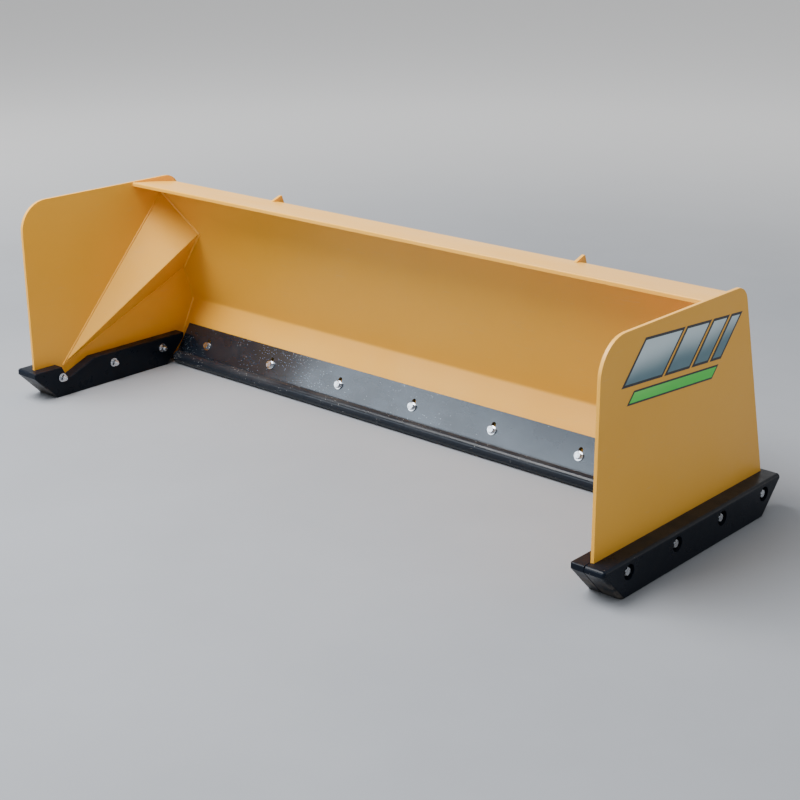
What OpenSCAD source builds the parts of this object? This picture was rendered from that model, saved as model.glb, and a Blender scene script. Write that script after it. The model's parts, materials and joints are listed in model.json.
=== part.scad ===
// Snow pusher for a skid steer: an open-bottomed box blade that stands on two
// bolted skid shoes, with a bolt-on pipe edge and a coupler frame on its back.
// Millimetres. +X is right as seen from the open front, -Y is the open front,
// +Z is up. The origin is on the ground, under the middle of the shoes.

/* [Overall] */
// Width over the outsides of the side plates
overall_w = 2134; // [2000:1:2300]
// Height of the top edge of the side plates above the ground
overall_h = 623.5; // [620:0.5:640]

/* [Side plates] */
// Thickness of a side plate
side_t = 9.5; // [8:0.5:12]
// Front edge of a side plate, ahead of the origin
side_front = 370.5; // [360:0.5:372]
// Rear edge of a side plate at its top, behind the origin
side_rear_top = 237.3; // [236:0.1:245]
// Run of the sloping rear edge for each millimetre of drop
side_rear_slope = 0.2636; // [0.25:0.001:0.27]
// Radius of the front top corner
side_front_r = 92; // [60:1:120]
// Radius of the rear top corner
side_rear_r = 50; // [30:1:70]
// Sole left between a side plate's bottom edge and the ground
sole_t = 14; // [12:0.5:18]

/* [Moldboard] */
// Thickness of the moldboard sheet
sheet_t = 6.35; // [5:0.05:7]
// Crease of the moldboard, behind the origin
crease_y = 288.5; // [284:0.5:292]
// Height of the crease
crease_z = 191.5; // [188:0.5:195]
// Slope of the lower strip from the ground, in degrees
strip_angle = 64; // [63:0.5:65]
// Lean of the upper panel from the vertical, in degrees
panel_lean = 16.4; // [15.5:0.1:17]
// Length of the lower strip below the crease
strip_len = 199; // [190:1:200]
// Radius of the press bend on the front of the crease
crease_r = 14; // [8:1:24]

/* [Top rail] */
// Front lip of the rail, behind the origin
rail_front_y = 59.5; // [50:0.5:70]
// Height of the top of the front lip
rail_front_z = 622; // [621:0.5:623]
// Shallow bend in the rail's top
rail_bend_y = 147.5; // [140:0.5:155]
// Height of that bend
rail_bend_z = 612; // [611:0.5:613]
// Rear edge of the rail
rail_rear_y = 235.5; // [230:0.5:240]
// Height of the rear edge
rail_rear_z = 599.5; // [598:0.5:601]
// Depth of the turned-down front lip
rail_lip_h = 12; // [9:0.5:16]
// Depth of the turned-down rear flange
rail_flange_h = 39.5; // [30:0.5:42]

/* [Corner braces] */
// Thickness of a folded corner brace
brace_t = 6.35; // [5:0.05:7]
// Tip of the brace on the side plate, ahead of the origin
brace_tip_y = 263.5; // [250:0.5:275]
// Height of that tip
brace_tip_z = 87.5; // [86:0.5:95]
// Height of the brace's upper corner
brace_top_z = 575.5; // [560:0.5:585]
// Height of its lower corner
brace_low_z = 305.5; // [280:0.5:330]
// Height of the end of its ridge on the moldboard
brace_ridge_z = 446; // [420:1:470]
// Reach of the ridge along the moldboard from the side plate
brace_reach = 133; // [110:1:150]

/* [Skid shoes] */
// Length of the outer half of a shoe
shoe_len = 793; // [785:1:800]
// Height of a shoe
shoe_h = 95.5; // [92:0.5:100]
// Height of the upright nose above the ramp
shoe_nose = 16; // [12:0.5:20]
// Length of the ramp at each end
shoe_ramp = 76; // [70:1:84]
// How far a shoe stands out beyond the side plate
shoe_out = 48; // [42:0.5:55]
// Thickness of the inner half of a shoe
shoe_in = 38; // [32:0.5:44]
// Rear end of the inner half, behind the origin
inner_rear = 206.5; // [200:0.5:212]
// First shoe bolt, ahead of the origin
shoe_bolt_y = 296; // [294:0.5:300]
// Spacing of the shoe bolts
shoe_bolt_pitch = 203.2; // [200:0.1:206]
// Height of the shoe bolts
shoe_bolt_z = 62.5; // [60:0.5:66]
// Diameter of the counterbore over each bolt head
counterbore_d = 40; // [38:0.5:44]
// Depth of the counterbore
counterbore_depth = 15.5; // [15:0.5:20]

/* [Cutting edge] */
// Thickness of the edge plate
edge_t = 12.7; // [10:0.1:13]
// Top of the edge plate, down the strip from the crease
edge_top = 87; // [80:1:95]
// Bottom of the edge plate, down the strip from the crease
edge_bottom = 208; // [207:0.5:209]
// Half length of the edge plate along its top
edge_half_top = 1026; // [1015:1:1035]
// Half length of the edge plate along its bottom
edge_half_bottom = 1046; // [1036:1:1050]
// Bolt line, down the strip from the crease
edge_bolt_s = 146.5; // [144:0.5:150]
// Number of edge bolts
edge_bolt_count = 7; // [5:2:7]
// Spacing of the edge bolts
edge_bolt_pitch = 303; // [290:1:305]
// How far the edge can be lowered in its slots
edge_travel = 17; // [10:1:20]
// Outside diameter of the pipe along the edge
pipe_d = 42.2; // [38:0.1:44]
// Wall of the pipe
pipe_wall = 4.85; // [3:0.05:6]
// Half length of the pipe
pipe_half = 1010; // [990:1:1012]

/* [Coupler frame] */
// Width between the end ribs
coupler_w = 1136.5; // [1130:0.5:1144]
// Thickness of the coupler plate and the ribs
coupler_t = 9.5; // [8:0.5:12]
// Rear face of the coupler plate, behind the origin
coupler_y = 323; // [320:0.5:328]
// Height of the top of the coupler plate
coupler_top = 553.5; // [545:0.5:555]
// Height of the underside of the latch lip
lip_z = 131.5; // [130:0.5:135]
// Thickness of the latch lip
lip_t = 12.7; // [10:0.1:14]
// Depth of the latch lip behind the coupler plate
lip_depth = 60.5; // [56:0.5:62]
// Spacing of the two latch slots
latch_pitch = 815; // [780:1:850]
// Reach of the hook behind the coupler plate
hook_reach = 40; // [34:1:44]
// Thickness of the hook's root
hook_root = 13; // [11:0.5:16]
// Width of a latch slot, front to back
latch_slot_w = 32; // [28:1:34]
// Length of a latch slot, end to end
latch_slot_len = 76; // [60:1:90]

/* [Fasteners] */
// Diameter of every bolt
bolt_d = 12.7; // [12:0.1:13]
// Diameter of every bolt hole, and width of the edge slots
hole_d = 14.3; // [14:0.1:15]
// Hexagon across its flats
hex_flats = 19; // [18:0.5:20]
// Height of a bolt head
head_h = 8.7; // [7:0.1:10]
// Height of a nut
nut_h = 11.1; // [9:0.1:12]
// Outside diameter of a washer
washer_d = 28; // [26:0.5:30]
// Thickness of a washer
washer_t = 2.8; // [2:0.1:3.5]
// Bolt end left standing out of a nut
thread_out = 7; // [4:0.5:10]

/* [Hidden] */

PAINT = [0.80, 0.57, 0.24];
SHOE_BLACK = [0.08, 0.09, 0.11];
EDGE_BLACK = [0.14, 0.15, 0.16];
ZINC = [0.74, 0.76, 0.78];

ROUND = 48;
ARC_STEPS = 10;
BEND_STEPS = 4;

side_in = overall_w / 2 - side_t;
side_out = overall_w / 2;
shoe_outer_x = side_out + shoe_out;
shoe_inner_x = side_in - shoe_in;
bore_floor_x = shoe_outer_x - counterbore_depth;
hex_d = hex_flats / cos(30);
rib_half = coupler_w / 2 + coupler_t / 2;
inner_rib_x = 190;
outer_rib_x = 850;
slot_slack = 1;
slide_gap = 0.1;
thread_play = 0.1;
through = 1;
edge_bolt_first = -(edge_bolt_count - 1) / 2;
pipe_r = pipe_d / 2;
pipe_gap = 0.2;
edge_face = slide_gap + edge_t;
pipe_off = edge_face + pipe_gap + pipe_r;
pipe_s = (crease_z + pipe_off * cos(strip_angle) - pipe_r) / sin(strip_angle);
stitch_len = 92;
stitch_count = 8;
stitch_pitch = 254;
weld_r = 9;
weld_rise = 13;
weld_bite = 3;
rail_seat = 1.8;
rib_gap = 0.5;
rib_top = rail_rear_z - rail_flange_h - rib_gap;
rib_foot = 60;
relief = 1;
bend_room = 6;
shelf_rim = 7;
bar_w = 47;
notch_front = 293.5;
notch_rear = 167.5;
notch_dip = 17;
notch_flat = 14;
notch_floor_z = 59;

// Corner points of the side plate's bottom edge, tucked inside the shoe
plate_chamfer_y = 318;
plate_chamfer_front_z = 66;
plate_chamfer_rear_z = 75;

// Points along the moldboard's sheet, front side and rear side
function strip_y(z, off = 0) =
    crease_y - (crease_z - z) / tan(strip_angle) + off / sin(strip_angle);
function panel_y(z, off = 0) =
    crease_y - (z - crease_z) * tan(panel_lean) + off / cos(panel_lean);
function rail_top_z(y) = rail_rear_z
    + (rail_rear_y - y) * (rail_bend_z - rail_rear_z) / (rail_rear_y - rail_bend_y);
function arc(centre, r, from, to, steps) = [for (i = [0:steps])
    let (a = from + (to - from) * i / steps) [centre.x + r * cos(a), centre.y + r * sin(a)]];

// Where the moldboard's rear surfaces meet
crease_rear_z = crease_z + sheet_t * (1 / sin(strip_angle) - 1 / cos(panel_lean))
    / (-tan(panel_lean) - 1 / tan(strip_angle));
crease_rear_y = strip_y(crease_rear_z, sheet_t);
panel_top_z = rail_top_z(panel_y(rail_bend_z)) - sheet_t - rail_seat;

// Unit normal of the plane through three points
function plane_normal(a, b, c) = let (n = cross(b - a, c - a)) n / norm(n);
// Point where three planes n . p = d meet
function meet(n1, d1, n2, d2, n3, d3) =
    (d1 * cross(n2, n3) + d2 * cross(n3, n1) + d3 * cross(n1, n2)) / (n1 * cross(n2, n3));

// Draws an outline given as [Y, Z] points and gives it a width along X
module across(x0, x1) {
    translate([x0, 0, 0]) rotate([90, 0, 90]) linear_extrude(x1 - x0) children();
}

// Places a shape on the front of the lower strip: +Y up the strip, +Z out of it
module on_strip(x, s) {
    translate([x, crease_y - s * cos(strip_angle), crease_z - s * sin(strip_angle)])
        rotate([strip_angle, 0, 0]) children();
}

module for_edge_bolts() {
    for (i = [0:edge_bolt_count - 1])
        on_strip((edge_bolt_first + i) * edge_bolt_pitch, edge_bolt_s) children();
}

// Places a shape at each shoe bolt, +Z pointing outwards from the side plate
module for_shoe_bolts(x, first = 0, last = 3) {
    for (i = [first:last])
        translate([x, -shoe_bolt_y + i * shoe_bolt_pitch, shoe_bolt_z])
            rotate([0, 90, 0]) children();
}

module hexagon(h) {
    rotate([0, 0, 30]) cylinder(d = hex_d, h = h, $fn = 6);
}

// Round hole through a thickness h, run past both faces
module hole(d, h) {
    translate([0, 0, -through]) cylinder(d = d, h = h + 2 * through, $fn = ROUND);
}

module washer() {
    difference() {
        cylinder(d = washer_d, h = washer_t, $fn = ROUND);
        hole(hole_d, washer_t);
    }
}

module nut() {
    difference() {
        hexagon(nut_h);
        hole(bolt_d + thread_play, nut_h);
    }
}

// Bolt with its head above the origin and its shank below
module bolt(grip) {
    hexagon(head_h);
    translate([0, 0, -grip]) cylinder(d = bolt_d, h = grip + through / 2, $fn = ROUND);
}

// ---- side plates ----

module side_outline() {
    rear_at = function (z) side_rear_top + side_rear_slope * (overall_h - z);
    lean = atan(side_rear_slope);
    rear_c = [rear_at(overall_h - side_rear_r) - side_rear_r / cos(lean),
        overall_h - side_rear_r];
    front_c = [-side_front + side_front_r, overall_h - side_front_r];
    polygon(concat(
        [[-side_front, plate_chamfer_front_z], [-plate_chamfer_y, sole_t],
            [plate_chamfer_y, sole_t], [rear_at(plate_chamfer_rear_z), plate_chamfer_rear_z]],
        arc(rear_c, side_rear_r, lean, 90, ARC_STEPS),
        arc(front_c, side_front_r, 90, 180, ARC_STEPS)));
}

module side_plate() {
    color(PAINT) difference() {
        across(side_in, side_out) side_outline();
        for_shoe_bolts(side_in) hole(hole_d, side_t);
    }
}

// ---- moldboard ----

// Cross-section of the sheet, with its press bend as two arcs about one centre
module moldboard_outline() {
    turn = 90 - strip_angle + panel_lean;
    reach = crease_r / tan((180 - turn) / 2);
    centre = [crease_y - reach * cos(strip_angle) - crease_r * sin(strip_angle),
        crease_z - reach * sin(strip_angle) + crease_r * cos(strip_angle)];
    bottom_z = crease_z - strip_len * sin(strip_angle);
    from = strip_angle - 90;
    to = panel_lean;
    polygon(concat(
        [[strip_y(bottom_z), bottom_z],
            [strip_y(bottom_z) + sheet_t * sin(strip_angle),
                bottom_z - sheet_t * cos(strip_angle)]],
        arc(centre, crease_r + sheet_t, from, to, BEND_STEPS),
        [[panel_y(panel_top_z, sheet_t), panel_top_z], [panel_y(panel_top_z), panel_top_z]],
        arc(centre, crease_r, to, from, BEND_STEPS)));
}

module moldboard() {
    color(PAINT) difference() {
        across(-side_in, side_in) moldboard_outline();
        for_edge_bolts() translate([0, 0, -sheet_t]) hole(hole_d, sheet_t);
    }
}

// Cap of one sheet: a front lip, two shallow facets and a rear flange
module top_rail() {
    front_fall = (rail_front_z - rail_bend_z) / (rail_bend_y - rail_front_y);
    rear_fall = (rail_bend_z - rail_rear_z) / (rail_rear_y - rail_bend_y);
    inside_front = rail_front_y + sheet_t;
    inside_rear = rail_rear_y - sheet_t;
    color(PAINT) across(-side_in, side_in) polygon([
        [rail_front_y, rail_front_z], [rail_front_y, rail_front_z - rail_lip_h],
        [inside_front, rail_front_z - rail_lip_h],
        [inside_front, rail_front_z - sheet_t * (1 + front_fall)],
        [rail_bend_y, rail_bend_z - sheet_t],
        [inside_rear, rail_rear_z - sheet_t * (1 - rear_fall)],
        [inside_rear, rail_rear_z - rail_flange_h],
        [rail_rear_y, rail_rear_z - rail_flange_h],
        [rail_rear_y, rail_rear_z], [rail_bend_y, rail_bend_z]]);
}

// Plate folded along a ridge that runs from the side plate's foot to the moldboard
module corner_brace() {
    side_n = [1, 0, 0];
    panel_n = [0, cos(panel_lean), sin(panel_lean)];
    panel_d = panel_n * [0, crease_y, crease_z];
    tip = [side_in, -brace_tip_y, brace_tip_z];
    top = [side_in, panel_y(brace_top_z), brace_top_z];
    low = [side_in, panel_y(brace_low_z), brace_low_z];
    ridge = [side_in - brace_reach, panel_y(brace_ridge_z), brace_ridge_z];
    upper_n = plane_normal(tip, top, ridge);
    lower_n = plane_normal(tip, ridge, low);
    upper_d = upper_n * tip - brace_t;
    lower_d = lower_n * tip - brace_t;
    back_tip = meet(upper_n, upper_d, lower_n, lower_d, side_n, side_in);
    back_top = meet(upper_n, upper_d, side_n, side_in, panel_n, panel_d);
    back_ridge = meet(upper_n, upper_d, lower_n, lower_d, panel_n, panel_d);
    back_low = meet(lower_n, lower_d, side_n, side_in, panel_n, panel_d);
    color(PAINT) polyhedron(
        points = [tip, top, ridge, low, back_tip, back_top, back_ridge, back_low],
        faces = [[0, 2, 1], [0, 3, 2], [4, 5, 6], [4, 6, 7],
            [0, 5, 4], [0, 1, 5], [1, 6, 5], [1, 2, 6],
            [2, 7, 6], [2, 3, 7], [3, 4, 7], [3, 0, 4]]);
}

// ---- frame on the back ----

// Full-width shelf that carries the ribs and the latch lip
module back_shelf() {
    rear_y = coupler_y + shelf_rim;
    under_z = lip_z - sheet_t;
    color(PAINT) across(-side_in, side_in) polygon([
        [strip_y(lip_z, sheet_t), lip_z], [rear_y, lip_z], [rear_y, under_z],
        [strip_y(under_z, sheet_t), under_z]]);
}

// Full-width bar that stiffens the strip between the shelf and the edge bolts
module backing_bar() {
    top_z = lip_z - sheet_t;
    foot_z = top_z - bar_w * sin(strip_angle);
    color(PAINT) across(-side_in, side_in) polygon([
        [strip_y(top_z, sheet_t), top_z], [strip_y(top_z, 2 * sheet_t), top_z],
        [strip_y(foot_z, 2 * sheet_t), foot_z], [strip_y(foot_z, sheet_t), foot_z]]);
}

// Front side of every rib, from the rail's flange down to the back shelf,
// relieved where it passes the moldboard's press bend
function rib_front() = [[rail_rear_y, rib_top], [panel_y(rib_top, sheet_t), rib_top],
    [crease_rear_y + relief, crease_rear_z + 2 * bend_room],
    [crease_rear_y + relief, crease_rear_z - bend_room], [strip_y(lip_z, sheet_t), lip_z]];

module rib(x) {
    color(PAINT) across(x - coupler_t / 2, x + coupler_t / 2) children();
}

module outer_rib() {
    rib(outer_rib_x) polygon(concat(rib_front(), [[coupler_y, lip_z],
        [coupler_y, lip_z + rib_foot]]));
}

module inner_rib() {
    head_room = 21;
    plate_y = coupler_y - coupler_t;
    rib(inner_rib_x) polygon(concat(rib_front(), [[plate_y, lip_z],
        [plate_y, coupler_top - head_room]]));
}

// End rib: a tall cheek that closes the hook's end, with an ear that rises over the rail
module end_rib() {
    ear_front = rail_rear_y - 26;
    ear_tip = [rail_rear_y + 11, overall_h - 7.5];
    ear_tip_w = 5;
    ear_heel = [rail_rear_y + 36, coupler_top + 7];
    lip_guard = 28;
    cheek = 8;
    hook_cheek = hook_reach + 6;
    hook_depth = 60;
    rib(rib_half) polygon(concat(
        [[rail_rear_y, rail_rear_z]], rib_front(),
        [[coupler_y + lip_depth, lip_z], [coupler_y + lip_depth, lip_z + lip_guard],
            [coupler_y + cheek, lip_z + rib_foot],
            [coupler_y + cheek, coupler_top - hook_depth - 2 * cheek],
            [coupler_y + 2 * cheek, coupler_top - hook_depth],
            [coupler_y + hook_cheek, coupler_top - hook_depth],
            [coupler_y + hook_cheek, coupler_top - hook_reach],
            [coupler_y, coupler_top + hook_cheek - hook_reach], ear_heel,
            ear_tip + [ear_tip_w, 0], ear_tip, [ear_front, rail_top_z(ear_front)]]));
}

module coupler_plate() {
    color(PAINT) across(-coupler_w / 2, coupler_w / 2)
        translate([coupler_y - coupler_t, lip_z + lip_t])
            square([coupler_t, coupler_top - hook_root - lip_z - lip_t]);
}

// Hook that sits on the coupler plate, runs straight back and then turns down
module coupler_hook() {
    step = 6;
    color(PAINT) across(-coupler_w / 2, coupler_w / 2) polygon([
        [coupler_y - coupler_t, coupler_top], [coupler_y - coupler_t, coupler_top - hook_root],
        [coupler_y + step, coupler_top - hook_root],
        [coupler_y + hook_reach, coupler_top - hook_root - hook_reach + step],
        [coupler_y + hook_reach, coupler_top - hook_reach], [coupler_y, coupler_top]]);
}

module latch_lip() {
    front_y = coupler_y - coupler_t;
    slot_y = coupler_y + 32.25;
    half = latch_slot_len / 2 - latch_slot_w / 2;
    color(PAINT) difference() {
        across(-coupler_w / 2, coupler_w / 2)
            translate([front_y, lip_z]) square([coupler_t + lip_depth, lip_t]);
        for (side = [-1, 1]) translate([side * latch_pitch / 2, slot_y, lip_z]) {
            for (end = [-half, half]) translate([end, 0, 0]) hole(latch_slot_w, lip_t);
            translate([-half, -latch_slot_w / 2, -through])
                cube([2 * half, latch_slot_w, lip_t + 2 * through]);
        }
    }
}

// ---- skid shoes ----

module shoe_outline(rear) {
    front = -shoe_len / 2;
    ramp_top = shoe_h - shoe_nose;
    polygon([[front, shoe_h], [front, ramp_top], [front + shoe_ramp, 0],
        [rear - shoe_ramp, 0], [rear, ramp_top], [rear, shoe_h]]);
}

module outer_shoe() {
    color(SHOE_BLACK) difference() {
        across(side_in, shoe_outer_x) shoe_outline(shoe_len / 2);
        across(side_in - through, side_out) side_outline();
        for_shoe_bolts(side_in) hole(hole_d, shoe_outer_x - side_in);
        for_shoe_bolts(bore_floor_x)
            cylinder(d = counterbore_d, h = counterbore_depth + through, $fn = ROUND);
    }
}

// Inner half: shorter, and notched to let the tip of the corner brace in
module inner_shoe() {
    notch = [[-notch_front, shoe_h + through], [-notch_front, shoe_h],
        [-notch_front + notch_dip, notch_floor_z], [-notch_front + notch_dip + notch_flat,
            notch_floor_z - 2], [-notch_rear, shoe_h], [-notch_rear, shoe_h + through]];
    color(SHOE_BLACK) difference() {
        across(shoe_inner_x, side_in) difference() {
            shoe_outline(inner_rear);
            polygon(notch);
        }
        for_shoe_bolts(shoe_inner_x, 0, 2) hole(hole_d, shoe_in);
    }
}

module shoe_bolts() {
    head_x = bore_floor_x + washer_t;
    end_out = washer_t + nut_h + thread_out;
    color(ZINC) {
        for_shoe_bolts(head_x, 0, 2) bolt(head_x - shoe_inner_x + end_out);
        for_shoe_bolts(head_x, 3, 3) bolt(head_x - side_in + end_out);
    }
}

module shoe_head_washers() {
    color(ZINC) for_shoe_bolts(bore_floor_x) washer();
}

module shoe_nut_washers() {
    color(ZINC) {
        for_shoe_bolts(shoe_inner_x - washer_t, 0, 2) washer();
        for_shoe_bolts(side_in - washer_t, 3, 3) washer();
    }
}

module shoe_nuts() {
    color(ZINC) {
        for_shoe_bolts(shoe_inner_x - washer_t - nut_h, 0, 2) nut();
        for_shoe_bolts(side_in - washer_t - nut_h, 3, 3) nut();
    }
}

// ---- cutting edge ----

// Slotted plate: at rest each bolt sits near the bottom of its slot. The plate and
// the washers on it stay a hair apart from what they slide on.
module edge_plate() {
    slot_rise = edge_travel + slot_slack;
    color(EDGE_BLACK) difference() {
        on_strip(0, 0) translate([0, 0, slide_gap]) linear_extrude(edge_t) polygon([
            [-edge_half_top, -edge_top], [-edge_half_bottom, -edge_bottom],
            [edge_half_bottom, -edge_bottom], [edge_half_top, -edge_top]]);
        for_edge_bolts() {
            for (y = [-slot_slack, slot_rise]) translate([0, y, 0]) hole(hole_d, edge_face);
            translate([-hole_d / 2, -slot_slack, -through])
                cube([hole_d, slot_rise + slot_slack, edge_face + 2 * through]);
        }
    }
}

module edge_pipe() {
    color(EDGE_BLACK) on_strip(0, 0) translate([-pipe_half, -pipe_s, pipe_off])
        rotate([0, 90, 0]) difference() {
            cylinder(r = pipe_r, h = 2 * pipe_half, $fn = ROUND);
            hole(2 * (pipe_r - pipe_wall), 2 * pipe_half);
        }
}

// Short welds in the valley above the pipe, at even stations
module edge_stitch_welds() {
    toe_s = pipe_s - weld_rise;
    color(EDGE_BLACK) for (i = [0:stitch_count - 1])
        on_strip((i - (stitch_count - 1) / 2) * stitch_pitch - stitch_len / 2, 0)
            rotate([0, 90, 0]) linear_extrude(stitch_len) difference() {
                translate([-edge_face - weld_bite, -toe_s]) circle(r = weld_r, $fn = ROUND);
                translate([-pipe_off, -pipe_s]) circle(r = pipe_r, $fn = ROUND);
                translate([-edge_face, -edge_bottom]) square([edge_t + weld_r, edge_bottom]);
            }
}

module edge_bolts() {
    under_head = edge_face + slide_gap + washer_t;
    end_out = sheet_t + washer_t + nut_h + thread_out;
    color(ZINC) for_edge_bolts() translate([0, 0, under_head]) bolt(under_head + end_out);
}

module edge_front_washers() {
    color(ZINC) for_edge_bolts() translate([0, 0, edge_face + slide_gap]) washer();
}

module edge_back_washers() {
    color(ZINC) for_edge_bolts() translate([0, 0, -sheet_t - washer_t]) washer();
}

module edge_nuts() {
    color(ZINC) for_edge_bolts() translate([0, 0, -sheet_t - washer_t - nut_h]) nut();
}

// ---- assembly ----

module left() {
    mirror([1, 0, 0]) children();
}

left() side_plate();  // left_side_plate
side_plate();  // right_side_plate
moldboard();
top_rail();
left() corner_brace();  // left_corner_brace
corner_brace();  // right_corner_brace
back_shelf();
backing_bar();
left() outer_rib();  // left_outer_rib
outer_rib();  // right_outer_rib
left() inner_rib();  // left_inner_rib
inner_rib();  // right_inner_rib
left() end_rib();  // left_end_rib
end_rib();  // right_end_rib
coupler_plate();
coupler_hook();
latch_lip();
left() outer_shoe();  // left_outer_shoe
left() inner_shoe();  // left_inner_shoe
outer_shoe();  // right_outer_shoe
inner_shoe();  // right_inner_shoe
left() shoe_bolts();  // left_shoe_bolts
left() shoe_head_washers();  // left_shoe_head_washers
left() shoe_nut_washers();  // left_shoe_nut_washers
left() shoe_nuts();  // left_shoe_nuts
shoe_bolts();  // right_shoe_bolts
shoe_head_washers();  // right_shoe_head_washers
shoe_nut_washers();  // right_shoe_nut_washers
shoe_nuts();  // right_shoe_nuts
edge_plate();
edge_pipe();
edge_stitch_welds();
edge_bolts();
edge_front_washers();
edge_back_washers();
edge_nuts();
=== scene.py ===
"""Finish for a skid steer snow pusher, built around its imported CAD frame.

Everything is in metres in the frame's own axes: +X is right as seen from the open
front, -Y is the open front and +Z is up. Each operator makes one piece or one group
of like pieces, and the panel in the sidebar lists them in the order they are run.
"""

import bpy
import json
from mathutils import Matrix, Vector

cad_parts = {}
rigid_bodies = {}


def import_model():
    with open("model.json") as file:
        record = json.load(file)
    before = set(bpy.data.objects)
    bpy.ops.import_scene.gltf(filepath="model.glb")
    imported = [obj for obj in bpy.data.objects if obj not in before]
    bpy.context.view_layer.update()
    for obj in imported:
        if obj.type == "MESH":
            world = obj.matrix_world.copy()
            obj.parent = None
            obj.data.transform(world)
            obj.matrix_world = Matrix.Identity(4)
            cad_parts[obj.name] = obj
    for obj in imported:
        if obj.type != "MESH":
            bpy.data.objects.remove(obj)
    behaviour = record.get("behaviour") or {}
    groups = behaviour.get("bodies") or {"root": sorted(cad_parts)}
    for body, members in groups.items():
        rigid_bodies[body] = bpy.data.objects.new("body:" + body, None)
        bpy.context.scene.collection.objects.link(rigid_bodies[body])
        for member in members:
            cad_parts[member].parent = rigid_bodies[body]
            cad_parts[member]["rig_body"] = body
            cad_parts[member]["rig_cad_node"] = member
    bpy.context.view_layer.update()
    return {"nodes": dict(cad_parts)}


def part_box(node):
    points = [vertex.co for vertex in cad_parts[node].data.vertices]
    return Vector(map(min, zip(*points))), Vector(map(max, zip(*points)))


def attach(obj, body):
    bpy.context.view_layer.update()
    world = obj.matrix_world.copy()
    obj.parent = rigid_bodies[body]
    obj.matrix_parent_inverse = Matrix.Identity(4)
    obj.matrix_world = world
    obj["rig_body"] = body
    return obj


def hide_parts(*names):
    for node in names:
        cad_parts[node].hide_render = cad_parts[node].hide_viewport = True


bl_info = {
    "name": "Snow Pusher",
    "version": (1, 0, 0),
    "blender": (4, 5, 0),
    "location": "View3D > Sidebar > Snow Pusher",
    "description": "Painted plates, skid shoes, cutting edge and fasteners of a snow pusher",
    "category": "Add Mesh",
}

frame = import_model()

import json
from math import cos, pi, radians, sin, tan

import bpy
from bpy.props import FloatProperty, FloatVectorProperty, IntProperty, PointerProperty
from mathutils import Matrix, Vector

SIDES = {"left": -1, "right": 1}

# Doubles closer than this are one vertex, and faces this close to flat are one face
MERGE_DISTANCE = 0.00002
FLAT_ANGLE = radians(0.5)
SHARP_ANGLE = radians(38)
# An edge turned less than this lies within a flat face
CREASE_ANGLE = radians(5)
# Places are compared to this tolerance when edges are picked
TOUCH = 0.0004
# Shoe edges shorter than these are facets of a counterbore, on the face and at the seam
BORE_FACET = 0.012
SEAM_FACET = 0.002
# The moldboard's foot is looked for within this height of its lowest point
FOOT_BAND = 0.02
# The hook's weld lies this far under the coupler plate's top edge
HOOK_WELD_DROP = 0.013
# The beads against a side plate are smaller than those on the sheet, as a share of them
WALL_BEAD_SHARE = 0.6

PAINTED_BACK = (
    "back_shelf", "backing_bar", "left_outer_rib", "right_outer_rib",
    "left_inner_rib", "right_inner_rib", "left_end_rib", "right_end_rib",
    "coupler_plate", "coupler_hook", "latch_lip",
)


# ---- settings ----

class PaintSettings(bpy.types.PropertyGroup):
    """Powder coat on the steel plates"""

    colour: FloatVectorProperty(
        name="Colour", description="Main colour of the powder coat",
        subtype="COLOR", size=3, min=0, max=1, default=(0.79, 0.375, 0.026))
    # Also lightens the weld beads all over as a painted highlight
    light_colour: FloatVectorProperty(
        name="Light Colour", description="Colour where the coat is thin or chalky",
        subtype="COLOR", size=3, min=0, max=1, default=(0.93, 0.49, 0.06))
    roughness: FloatProperty(
        name="Roughness", description="Roughness of the clean coat",
        subtype="FACTOR", min=0, max=1, default=0.36)
    pebble: FloatProperty(
        name="Pebble Size", description="Size of the orange peel in the coat",
        unit="LENGTH", min=0.0005, max=0.01, default=0.0022, precision=4)


class PlateSettings(bpy.types.PropertyGroup):
    """Edges and folds of the steel plates"""

    edge_radius: FloatProperty(
        name="Edge Radius", description="Rounding of a cut plate edge under the paint",
        unit="LENGTH", min=0.0002, max=0.003, default=0.0011, precision=4)
    fold_radius: FloatProperty(
        name="Fold Radius", description="Outside radius of a press fold",
        unit="LENGTH", min=0.002, max=0.012, default=0.0035, precision=4)
    strip_angle: FloatProperty(
        name="Strip Angle", description="Slope of the moldboard's lower strip",
        subtype="ANGLE", min=radians(50), max=radians(80), default=radians(64))
    panel_lean: FloatProperty(
        name="Panel Lean", description="Forward lean of the moldboard's upper panel",
        subtype="ANGLE", min=0, max=radians(30), default=radians(16.4))


class WeldSettings(bpy.types.PropertyGroup):
    """Weld beads along the joints"""

    bead_radius: FloatProperty(
        name="Bead Radius", description="Leg of a fillet bead between two plates",
        unit="LENGTH", min=0.002, max=0.008, default=0.0042, precision=4)
    ripple: FloatProperty(
        name="Ripple", description="Distance from one ripple of a bead to the next",
        unit="LENGTH", min=0.003, max=0.02, default=0.0065, precision=4)
    stitch_radius: FloatProperty(
        name="Stitch Radius", description="Radius of the stitch welds on the pipe",
        unit="LENGTH", min=0.004, max=0.012, default=0.0085, precision=4)


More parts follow.
